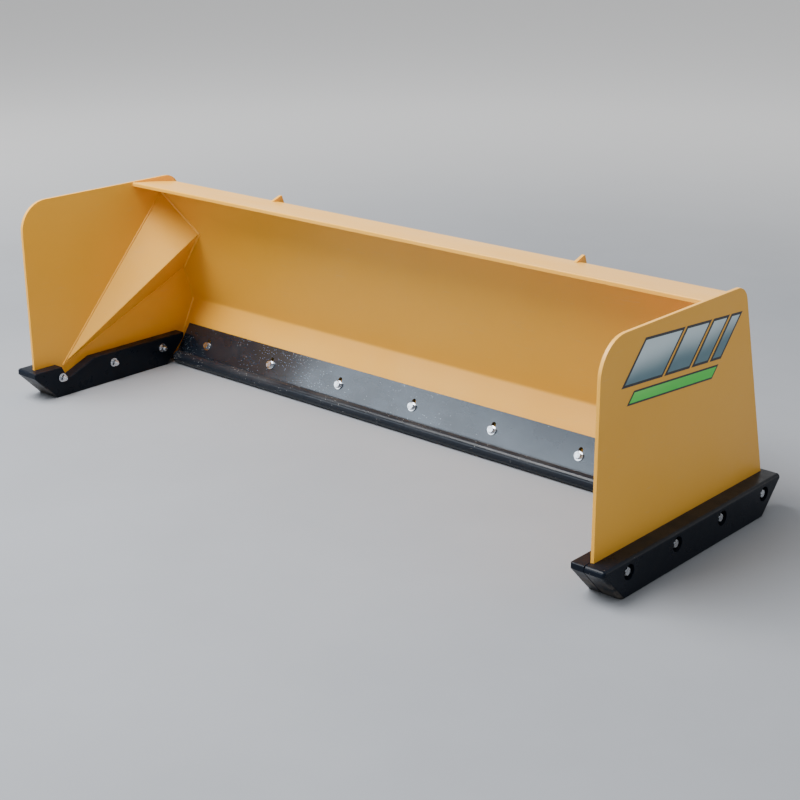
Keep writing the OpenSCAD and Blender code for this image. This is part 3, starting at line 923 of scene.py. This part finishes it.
class PUSHER_OT_top_rail(bpy.types.Operator):
    """Makes the top rail, with its press folds rounded"""

    bl_idname = "pusher.top_rail"
    bl_label = "Top Rail"

    def execute(self, context):
        plates = context.scene.pusher_plates
        low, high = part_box("top_rail")
        piece = free_copy("top_rail", "rail_cap")
        top_z = {}
        for vertex in piece.data.vertices:
            key = round(vertex.co.y, 5)
            top_z[key] = max(top_z.get(key, vertex.co.z), vertex.co.z)

        def fold(a, b):
            lengthwise = abs(a.x - b.x) > (high.x - low.x) / 2
            at_end = min(abs(a.y - low.y), abs(a.y - high.y)) < TOUCH
            return lengthwise and at_end and abs(a.z - top_z[round(a.y, 5)]) < TOUCH

        round_picked(piece, fold, plates.fold_radius, 5)
        round_all(piece, plates.edge_radius * 0.8)
        shade(piece)
        finish(piece, "frame", "yellow_paint", coating("Ochre powder coat"), "top_rail")
        return {"FINISHED"}


class PUSHER_OT_corner_braces(bpy.types.Operator):
    """Makes the two folded corner braces, rounded along their ridges"""

    bl_idname = "pusher.corner_braces"
    bl_label = "Corner Braces"

    def execute(self, context):
        plates = context.scene.pusher_plates
        for side in SIDES:
            node = side + "_corner_brace"
            piece = free_copy(node, side + "_brace_fold")
            tip, _, ridge, _ = brace_corners(side)

            def along_ridge(a, b, tip=tip, ridge=ridge):
                heights = {round(a.z, 3), round(b.z, 3)}
                from_tip = min((a - tip).length, (b - tip).length) < TOUCH
                return from_tip and heights == {round(tip.z, 3), round(ridge.z, 3)}

            round_picked(piece, along_ridge, plates.fold_radius, 4)
            shade(piece, radians(25))
            finish(piece, "frame", "yellow_paint", coating("Ochre powder coat"), node)
        return {"FINISHED"}


class PUSHER_OT_back_frame(bpy.types.Operator):
    """Makes the back shelf, backing bar, ribs, coupler plate, hook and latch lip"""

    bl_idname = "pusher.back_frame"
    bl_label = "Back Frame"

    def execute(self, context):
        for node in PAINTED_BACK:
            piece = free_copy(node, node + "_painted")
            round_all(piece, context.scene.pusher_plates.edge_radius)
            shade(piece)
            finish(piece, "frame", "yellow_paint", coating("Ochre powder coat"), node)
        return {"FINISHED"}


def weld_bead(start, end, radius, ripple):
    """Rippled bead from start to end: one ripple is modelled and repeated along the joint."""
    sides, crest_at, crest_swell = 10, 0.38, 1.13
    run = end - start
    count = max(2, round(run.length / ripple))
    step = run.length / count
    bpy.ops.mesh.primitive_cylinder_add(vertices=sides, radius=radius, depth=step,
                                        end_fill_type="NOTHING", location=(0, 0, step / 2))
    piece = bpy.context.object
    settle(piece)
    edit_all(piece)
    bpy.ops.mesh.bisect(plane_co=(0, 0, step * crest_at), plane_no=(0, 0, 1))
    bpy.ops.transform.resize(value=(crest_swell, crest_swell, 1))
    leave_edit()
    apply_modifier(piece, "ARRAY", count=count, use_relative_offset=False,
                   use_constant_offset=True, constant_offset_displace=(0, 0, step),
                   use_merge_vertices=True, merge_threshold=MERGE_DISTANCE)
    edit_all(piece)
    bpy.ops.mesh.fill_holes(sides=0)
    leave_edit()
    activate(piece)
    bpy.ops.object.shade_smooth_by_angle(angle=radians(60))
    piece.matrix_world = aimed(start, run.normalized())
    settle(piece)
    return piece


def lay_beads(name, joints, radius, ripple):
    """Beads along several joints, each a pair of ends, as one piece."""
    return join([weld_bead(start, end, radius, ripple) for start, end in joints], name)


class PUSHER_OT_bay_welds(bpy.types.Operator):
    """Lays the weld beads inside the bay, at the braces and the side plates"""

    bl_idname = "pusher.bay_welds"
    bl_label = "Bay Welds"

    def execute(self, context):
        welds = context.scene.pusher_welds
        foot, crease, _ = profile_points()
        for side, sign in SIDES.items():
            wall = sign * max(abs(corner.x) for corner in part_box("moldboard"))
            tip, upper, ridge, lower = brace_corners(side)
            strip_foot, strip_top = (Vector((wall, *point)) for point in (foot, crease))
            on_sheet = [(strip_foot, strip_top), (upper, ridge), (lower, ridge)]
            on_wall = [(tip, upper), (tip, lower), (strip_top, lower)]
            # Beads on the sheet take the lightened weld coat, a painted highlight; beads on the
            # side plates take the plain coat
            for place, joints, share, finish_name in (
                    ("sheet", on_sheet, 1, "Powder coat with painted weld highlight"),
                    ("wall", on_wall, WALL_BEAD_SHARE, "Ochre powder coat")):
                piece = lay_beads(f"{side}_bay_{place}_welds", joints,
                                  welds.bead_radius * share, welds.ripple)
                finish(piece, "frame", "yellow_paint", coating(finish_name))
        return {"FINISHED"}


class PUSHER_OT_back_welds(bpy.types.Operator):
    """Lays the weld beads of the ribs and the coupler frame on the back"""

    bl_idname = "pusher.back_welds"
    bl_label = "Back Welds"

    def execute(self, context):
        welds = context.scene.pusher_welds
        for name, joints in (("rib_welds", self.rib_joints()),
                             ("coupler_welds", self.coupler_joints())):
            piece = lay_beads(name, joints, welds.bead_radius, welds.ripple)
            # The lightened weld coat paints a highlight onto these beads
            finish(piece, "frame", "yellow_paint", coating("Powder coat with painted weld highlight"))
        return {"FINISHED"}

    def rib_joints(self):
        """Both faces of each rib against the panel, from the rail down to the crease."""
        rail_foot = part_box("top_rail")[0].z
        _, crease, _ = profile_points()
        sheet_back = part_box("moldboard")[1].y
        ribs = [node for node in PAINTED_BACK if node.endswith("rib")]
        edges = [corner.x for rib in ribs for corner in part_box(rib)]
        return [(Vector((x, sheet_back_at(rail_foot), rail_foot)),
                 Vector((x, sheet_back, crease[1]))) for x in edges]

    def coupler_joints(self):
        """The coupler plate against the latch lip and the hook, and its two upright edges."""
        low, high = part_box("coupler_plate")
        lip_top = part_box("latch_lip")[1].z
        hook_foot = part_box("coupler_hook")[0].z
        level = [(Vector((low.x, high.y, z)), Vector((high.x, high.y, z)))
                 for z in (lip_top, high.z - HOOK_WELD_DROP)]
        upright = [(Vector((x, high.y, lip_top)), Vector((x, high.y, hook_foot)))
                   for x in (low.x, high.x)]
        return level + upright


class PUSHER_OT_shoes(bpy.types.Operator):
    """Makes the four moulded shoe halves with their rounded edges"""

    bl_idname = "pusher.shoes"
    bl_label = "Skid Shoes"

    def execute(self, context):
        shoes = context.scene.pusher_shoes
        for side in SIDES:
            for half in ("outer", "inner"):
                self.make_half(shoes, side, half)
        return {"FINISHED"}

    def make_half(self, shoes, side, half):
        node = f"{side}_{half}_shoe"
        low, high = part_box(node)
        near, far = sorted((abs(low.x), abs(high.x)))
        face_x, seam_x = (far, near) if half == "outer" else (near, far)
        piece = free_copy(node, f"{side}_{half}_skid")

        def crosswise(a, b):
            across = abs(a.x - b.x) > TOUCH and max(abs(a.y - b.y), abs(a.z - b.z)) < TOUCH
            at_end = min(a.y - low.y, high.y - a.y) < TOUCH
            return across and at_end and abs(a.z - high.z) < TOUCH

        def on_face(a, b):
            at_face = all(abs(abs(p.x) - face_x) < TOUCH for p in (a, b))
            return at_face and (a - b).length > BORE_FACET

        def on_seam(a, b):
            at_seam = all(abs(abs(p.x) - seam_x) < TOUCH for p in (a, b))
            ahead = max(a.y, b.y) < low.y + shoes.nose_reach + TOUCH
            return at_seam and ahead and (a - b).length > SEAM_FACET

        radius = shoes.edge_radius if half == "outer" else shoes.inner_radius
        round_picked(piece, lambda a, b: crosswise(a, b) or on_face(a, b), radius, 4)
        if half == "outer":
            round_picked(piece, on_seam, shoes.seam_radius, 2)
        shade(piece)
        finish(piece, "frame", "shoe_plastic", coating("Shoe plastic"), node)


class PUSHER_OT_cutting_edge(bpy.types.Operator):
    """Makes the slotted plate, the pipe below it and the stitch welds between them"""

    bl_idname = "pusher.cutting_edge"
    bl_label = "Cutting Edge"

    def execute(self, context):
        radius = context.scene.pusher_edge.edge_radius
        plate = free_copy("edge_plate", "slotted_plate")
        round_all(plate, radius)
        shade(plate)
        finish(plate, "cutting_edge", "black_edge_steel", coating("Edge plate black"), "edge_plate")

        pipe = free_copy("edge_pipe", "edge_tube")
        round_all(pipe, radius, angle=radians(60))
        shade(pipe)
        finish(pipe, "cutting_edge", "black_edge_steel", coating("Pipe black"), "edge_pipe")

        welds = context.scene.pusher_welds
        crosswise = Vector((1, 0, 0))
        stitches = loose_parts("edge_stitch_welds")
        joints = [[middle(part) + crosswise * end for end in reach_along(part, crosswise)]
                  for part in stitches]
        remove(stitches)
        piece = lay_beads("stitch_beads", joints, welds.stitch_radius * 0.8, welds.ripple * 1.2)
        finish(piece, "cutting_edge", "black_edge_steel", coating("Pipe black"),
               "edge_stitch_welds")
        return {"FINISHED"}


# Sides of the circles that a bolt, a nut and its bore are turned from
TURNED_SIDES = 48
SHANK_SIDES = 28
# Depth of a thread, and the taper at a bolt's tip, as shares of the shank's radius
THREAD_ROOT = 0.86
TIP_LENGTH = 0.16
TIP_RADIUS = 0.84
# The shank starts this far inside the head
HEAD_OVERLAP = 0.0005
# A nut's bore is this much wider than the thread
BORE_SLACK = 0.00005


def hexagon(height, flats, both_ends):
    """Hexagon standing on the origin with its corners turned down at the top, or at both ends."""
    corner = flats / 2 / cos(pi / 6)
    bpy.ops.mesh.primitive_cylinder_add(vertices=6, radius=corner, depth=height,
                                        location=(0, 0, height / 2))
    body = bpy.context.object
    settle(body)
    bpy.ops.mesh.primitive_cylinder_add(vertices=TURNED_SIDES, radius=corner * 1.02,
                                        depth=height, location=(0, 0, height / 2))
    turned = bpy.context.object
    settle(turned)
    # The cut starts a little inside the flats and falls at 30 degrees
    lead = (corner - flats / 2) * 1.15
    cut = lead * tan(radians(30)) * 1.6
    for end in (height, 0.0) if both_ends else (height,):
        round_picked(turned, lambda a, b: max(abs(a.z - end), abs(b.z - end)) < 1e-6, cut, 1)
    apply_modifier(body, "BOOLEAN", operation="INTERSECT", solver="EXACT", object=turned)
    remove([turned])
    return body


def threaded_end(radius, length, pitch, shank):
    """Shank below the origin, plain and then threaded over the given length."""
    bpy.ops.mesh.primitive_circle_add(vertices=SHANK_SIDES, radius=radius, fill_type="NGON",
                                      location=(0, 0, HEAD_OVERLAP))
    piece = bpy.context.object
    settle(piece)
    edit_all(piece)

    def grow(drop, ratio=1.0):
        bpy.ops.mesh.extrude_region_move(TRANSFORM_OT_translate={"value": (0, 0, -drop)})
        if ratio != 1.0:
            bpy.ops.transform.resize(value=(ratio, ratio, 1))

    grow(shank - length + HEAD_OVERLAP)
    for _ in range(int(length / pitch)):
        grow(pitch / 2, THREAD_ROOT)
        grow(pitch / 2, 1 / THREAD_ROOT)
    grow(radius * TIP_LENGTH, TIP_RADIUS)
    leave_edit()
    face_outwards(piece)
    return piece


def make_bolt(total, settings):
    """Hex bolt with the underside of its head at the origin."""
    head = hexagon(settings.head_height, settings.head_flats, False)
    radius, pitch = settings.bolt_diameter / 2, settings.thread_pitch
    shank = total - settings.head_height - radius * TIP_LENGTH
    turns = int(settings.thread_length / pitch)
    bolt = join([head, threaded_end(radius, turns * pitch, pitch, shank)], "bolt")
    shade(bolt, radians(30))
    return bolt


def make_nut(height, settings):
    """Hex nut centred on the origin, turned down at both ends and bored."""
    nut = hexagon(height, settings.head_flats, True)
    bore_radius = settings.bolt_diameter / 2 + BORE_SLACK
    bpy.ops.mesh.primitive_cylinder_add(vertices=SHANK_SIDES, radius=bore_radius,
                                        depth=height * 2, location=(0, 0, height / 2))
    bore = bpy.context.object
    settle(bore)
    apply_modifier(nut, "BOOLEAN", operation="DIFFERENCE", solver="EXACT", object=bore)
    remove([bore])
    edit_all(nut)
    bpy.ops.transform.translate(value=(0, 0, -height / 2))
    leave_edit()
    shade(nut, radians(30))
    return nut


def fit_bolts(node, axis, prefix):
    """Stands a detailed bolt in place of each one of a CAD node. The axis points at the heads."""
    settings = bpy.context.scene.pusher_fasteners
    solids = loose_parts(node)
    masters = {}
    for number, solid_part in enumerate(solids, 1):
        low, high = reach_along(solid_part, axis)
        length = round(high - low, 5)
        if length not in masters:
            masters[length] = make_bolt(length, settings)
        under_head = middle(solid_part) + axis * (high - settings.head_height)
        piece = placed_copy(masters[length], f"{prefix}_{number}", aimed(under_head, axis))
        finish(piece, "frame", "zinc_fasteners", coating("Zinc plating"), node)
    remove(solids + list(masters.values()))


def fit_nuts(node, axis, prefix):
    """Stands a detailed nut in place of each nut of a CAD node."""
    settings = bpy.context.scene.pusher_fasteners
    solids = loose_parts(node)
    low, high = reach_along(solids[0], axis)
    master = make_nut(high - low, settings)
    for number, solid_part in enumerate(solids, 1):
        piece = placed_copy(master, f"{prefix}_{number}", aimed(middle(solid_part), axis))
        finish(piece, "frame", "zinc_fasteners", coating("Zinc plating"), node)
    remove(solids + [master])


def fit_washers(node, name):
    """Rounds the edges of a CAD node's washers."""
    settings = bpy.context.scene.pusher_fasteners
    piece = free_copy(node, name)
    round_all(piece, settings.washer_radius)
    shade(piece)
    finish(piece, "frame", "zinc_fasteners", coating("Zinc plating"), node)


class PUSHER_OT_shoe_fasteners(bpy.types.Operator):
    """Makes the bolts, washers and nuts of the skid shoes"""

    bl_idname = "pusher.shoe_fasteners"
    bl_label = "Shoe Fasteners"

    def execute(self, context):
        for side, sign in SIDES.items():
            outward = Vector((sign, 0, 0))
            fit_bolts(side + "_shoe_bolts", outward, side + "_shoe_bolt")
            fit_nuts(side + "_shoe_nuts", outward, side + "_shoe_nut")
            fit_washers(side + "_shoe_head_washers", side + "_shoe_washers_outside")
            fit_washers(side + "_shoe_nut_washers", side + "_shoe_washers_inside")
        return {"FINISHED"}


class PUSHER_OT_edge_fasteners(bpy.types.Operator):
    """Makes the bolts, washers and nuts of the cutting edge"""

    bl_idname = "pusher.edge_fasteners"
    bl_label = "Edge Fasteners"

    def execute(self, context):
        outward = strip_normal()
        fit_bolts("edge_bolts", outward, "edge_bolt")
        fit_nuts("edge_nuts", outward, "edge_nut")
        fit_washers("edge_front_washers", "edge_washers_front")
        fit_washers("edge_back_washers", "edge_washers_back")
        return {"FINISHED"}


def sticker(name, corners, x, thickness, material):
    """Flat sticker with the given (y, z) corners, standing out from the plate at x."""
    bpy.ops.mesh.primitive_circle_add(vertices=len(corners), radius=0.1, fill_type="NGON")
    piece = bpy.context.object
    piece.name = name
    settle(piece)
    for vertex, (y, z) in zip(piece.data.vertices, corners):
        vertex.co = (x, y, z)
    edit_all(piece)
    bpy.ops.mesh.extrude_region_move(TRANSFORM_OT_translate={"value": (thickness, 0, 0)})
    leave_edit()
    face_outwards(piece)
    piece.data.materials.append(material)
    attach(piece, "frame")
    return piece


class PUSHER_OT_side_graphic(bpy.types.Operator):
    """Puts a plain sticker of slanted bars over a stripe on the right side plate"""

    bl_idname = "pusher.side_graphic"
    bl_label = "Side Graphic"

    film = 0.0003
    # Place of the front bar's lower front corner from the plate's front and top edges
    from_front = 0.095
    from_top = 0.125
    # The whole graphic falls a little towards the back
    fall = 0.075
    # The stripe starts and ends this far inside the bars, and lies between these heights
    stripe_start = 0.06
    stripe_inset = 0.02
    stripe_heights = (-0.044, -0.022)
    # As many rims from bar to bar, and the stripe's rim as a share of a bar's
    bar_gap = 4
    stripe_rim = 0.7
    # Each vinyl's colour at its foot and at its top
    charcoal = (0.008, 0.009, 0.011), (0.014, 0.016, 0.020)
    silver = (0.10, 0.20, 0.24), (0.60, 0.72, 0.76)
    green_top = (0.16, 0.80, 0.12)
    # The stripe's green turns over this height under the bars
    green_depth = 0.06

    def execute(self, context):
        graphic = context.scene.pusher_graphic
        low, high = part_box("right_side_plate")
        self.lean = graphic.lean
        self.front_y = low.y + self.from_front
        self.base_z = high.z - self.from_top
        base, top = self.base_z, high.z - self.from_top + graphic.height
        dark = build_vinyl("Vinyl charcoal", *self.charcoal, base, top)
        silver = build_vinyl("Vinyl silver", *self.silver, base, top)
        green = build_vinyl("Vinyl green", tuple(graphic.stripe_colour), self.green_top,
                            base - self.green_depth, base)

        y, width, rim = 0.0, graphic.first_width, graphic.rim
        bar_heights = (0, graphic.height)
        for number in range(1, graphic.bars + 1):
            self.bar(f"graphic_bar_{number}", (y, y + width), bar_heights, rim, high.x,
                     dark, silver)
            y += width + rim * self.bar_gap
            width *= graphic.narrowing
        self.bar("graphic_stripe", (self.stripe_start, y - self.stripe_inset),
                 self.stripe_heights, rim * self.stripe_rim, high.x, dark, green)
        return {"FINISHED"}

    def bar(self, name, along, up, rim, x, dark, bright):
        """Bright slanted bar on a dark one that shows as its rim."""
        sticker(name + "_rim", self.corners(along, up, rim), x, self.film, dark)
        sticker(name, self.corners(along, up, 0), x + self.film, self.film, bright)

    def corners(self, along, up, rim):
        """Corners of a slanted bar, grown by a rim all round."""
        (front, back), (low, high) = along, up
        # A slanted end needs a wider rim sideways to look as wide
        front, back = front - rim * 1.3, back + rim * 1.3
        low, high = low - rim, high + rim
        return [(self.front_y + y + z * self.lean, self.base_z + z - y * self.fall)
                for y, z in ((front, low), (back, low), (back, high), (front, high))]


# ---- stage ----

def build_floor(name):
    """Plain pale floor with a faint cloudy tone. It turns paler far from the object, which is
    painted light on the far floor.
    """
    settings = bpy.context.scene.pusher_stage
    material, tree, shader, place = new_material(name)
    cloud = ramp(tree, noise(tree, place, 1.3, detail=5.0, roughness=0.6), 0.3, 0.7)
    darker = [channel * 0.93 for channel in settings.floor_colour]
    near = mix_colour(tree, cloud, solid(settings.floor_colour), solid(darker))
    # Painted light: the floor brightens with distance from the object
    away = add_node(tree, "ShaderNodeVectorMath", {0: place}, operation="LENGTH")
    painted_light_fade = ramp(tree, away.outputs["Value"], 1.8, 6.5)
    colour = mix_colour(tree, painted_light_fade, near, solid(settings.painted_far_light_colour))
    tree.links.new(colour, shader.inputs["Base Color"])
    shader.inputs["Roughness"].default_value = 0.85
    return material


class PUSHER_OT_stage(bpy.types.Operator):
    """Lays the floor and sets the light and the camera"""

    bl_idname = "pusher.stage"
    bl_label = "Stage"

    # Place, aim, width and height of each lamp
    overhead_softbox = (-1.5, -2.0, 4.5), (-0.2, 0.0, 0.2), 4.2, 3.2
    front_softbox = (-2.4, -4.9, 1.95), (-0.5, -0.1, 0.15), 5.4, 1.3
    # Light from the horizon, from straight up and from low down behind the object
    horizon = (0.36, 0.42, 0.50, 1)
    zenith = (1.15, 1.15, 1.15, 1)
    back_glow = (2.2, 2.15, 2.1, 1)

    def execute(self, context):
        settings = context.scene.pusher_stage
        bpy.ops.object.select_all(action="DESELECT")
        bpy.ops.mesh.primitive_plane_add(size=settings.floor_size, location=(0, 0, 0))
        floor = context.object
        floor.name = "floor"
        floor.data.materials.append(build_floor("Pale floor"))
        self.set_sky(context, settings)
        self.set_lamps(settings)
        self.set_camera(context, settings)
        return {"FINISHED"}

    def set_sky(self, context, settings):
        """Soft light from all round, brighter overhead and low down behind the object."""
        world = bpy.data.worlds.new("Soft sky")
        context.scene.world = world
        world.use_nodes = True
        tree = world.node_tree
        direction = tree.nodes.new("ShaderNodeTexCoord").outputs["Generated"]
        split = add_node(tree, "ShaderNodeSeparateXYZ", {0: direction}).outputs
        overhead = ramp(tree, split["Z"], 0.0, 0.9)
        colour = mix_colour(tree, overhead, self.horizon, self.zenith)
        low_down = math_node(tree, "SUBTRACT", 1.0, ramp(tree, split["Z"], 0.15, 0.6))
        behind = times(tree, ramp(tree, split["Y"], 0.2, 0.8), low_down)
        colour = mix_colour(tree, behind, colour, self.back_glow)
        background = tree.nodes["Background"]
        tree.links.new(colour, background.inputs["Color"])
        background.inputs["Strength"].default_value = settings.sky_strength

    def set_lamps(self, settings):
        self.softbox("overhead_softbox", *self.overhead_softbox, settings.overhead_power)
        front = self.softbox("front_softbox", *self.front_softbox, settings.front_power)
        front.data.color = settings.front_colour
        # Only gloss picks this lamp up, so that the rail still shades the sheet
        front.visible_diffuse = False

    def softbox(self, name, place, aim, width, height, power):
        """Soft rectangular lamp that faces a point and doesn't show in a picture itself."""
        bpy.ops.object.light_add(type="AREA", location=place)
        lamp = bpy.context.object
        lamp.name = name
        lamp.data.shape = "RECTANGLE"
        lamp.data.size = width
        lamp.data.size_y = height
        lamp.data.energy = power
        lamp.visible_camera = False
        lamp.matrix_world = aimed(Vector(place), Vector(place) - Vector(aim))
        return lamp

    def set_camera(self, context, settings):
        azimuth, elevation = settings.camera_azimuth, settings.camera_elevation
        roll = settings.camera_roll
        level = Vector((sin(azimuth), -cos(azimuth), 0)) * cos(elevation)
        back = level + Vector((0, 0, sin(elevation)))
        right = (-back).cross(Vector((0, 0, 1))).normalized()
        up = right.cross(-back)
        turned_right = right * cos(roll) + up * sin(roll)
        turned_up = up * cos(roll) - right * sin(roll)
        turn = Matrix((turned_right, turned_up, back)).transposed().to_4x4()
        bpy.ops.object.camera_add()
        camera = context.object
        camera.name = "yard_camera"
        camera.data.sensor_width = 36
        camera.data.lens = settings.lens
        camera.data.clip_end = settings.floor_size
        camera.matrix_world = Matrix.Translation(settings.camera_place) @ turn
        context.scene.camera = camera


# ---- add-on ----

STEPS = (
    PUSHER_OT_side_plates, PUSHER_OT_moldboard, PUSHER_OT_top_rail, PUSHER_OT_corner_braces,
    PUSHER_OT_back_frame, PUSHER_OT_bay_welds, PUSHER_OT_back_welds, PUSHER_OT_shoes,
    PUSHER_OT_cutting_edge, PUSHER_OT_shoe_fasteners, PUSHER_OT_edge_fasteners,
    PUSHER_OT_side_graphic, PUSHER_OT_stage,
)

SETTINGS = {
    "pusher_paint": PaintSettings, "pusher_plates": PlateSettings, "pusher_welds": WeldSettings,
    "pusher_shoes": ShoeSettings, "pusher_edge": EdgeSettings, "pusher_fasteners": FastenerSettings,
    "pusher_graphic": GraphicSettings, "pusher_stage": StageSettings,
}


class PUSHER_PT_panel(bpy.types.Panel):
    """Lists the settings and the steps"""

    bl_idname = "PUSHER_PT_panel"
    bl_label = "Snow Pusher"
    bl_space_type = "VIEW_3D"
    bl_region_type = "UI"
    bl_category = "Snow Pusher"

    def draw(self, context):
        for name in SETTINGS:
            settings = getattr(context.scene, name)
            box = self.layout.box()
            box.label(text=name.split("_")[1].title())
            for key in settings.__annotations__:
                box.prop(settings, key)
        for step in STEPS:
            self.layout.operator(step.bl_idname)


def register():
    for kind in (*SETTINGS.values(), *STEPS, PUSHER_PT_panel):
        bpy.utils.register_class(kind)
    for name, kind in SETTINGS.items():
        setattr(bpy.types.Scene, name, PointerProperty(type=kind))


def unregister():
    for name in SETTINGS:
        delattr(bpy.types.Scene, name)
    for kind in (PUSHER_PT_panel, *reversed(STEPS), *SETTINGS.values()):
        bpy.utils.unregister_class(kind)


def main():
    """Runs every step in order."""
    register()
    for step in STEPS:
        group, name = step.bl_idname.split(".")
        getattr(getattr(bpy.ops, group), name)()


if __name__ == "__main__":
    main()
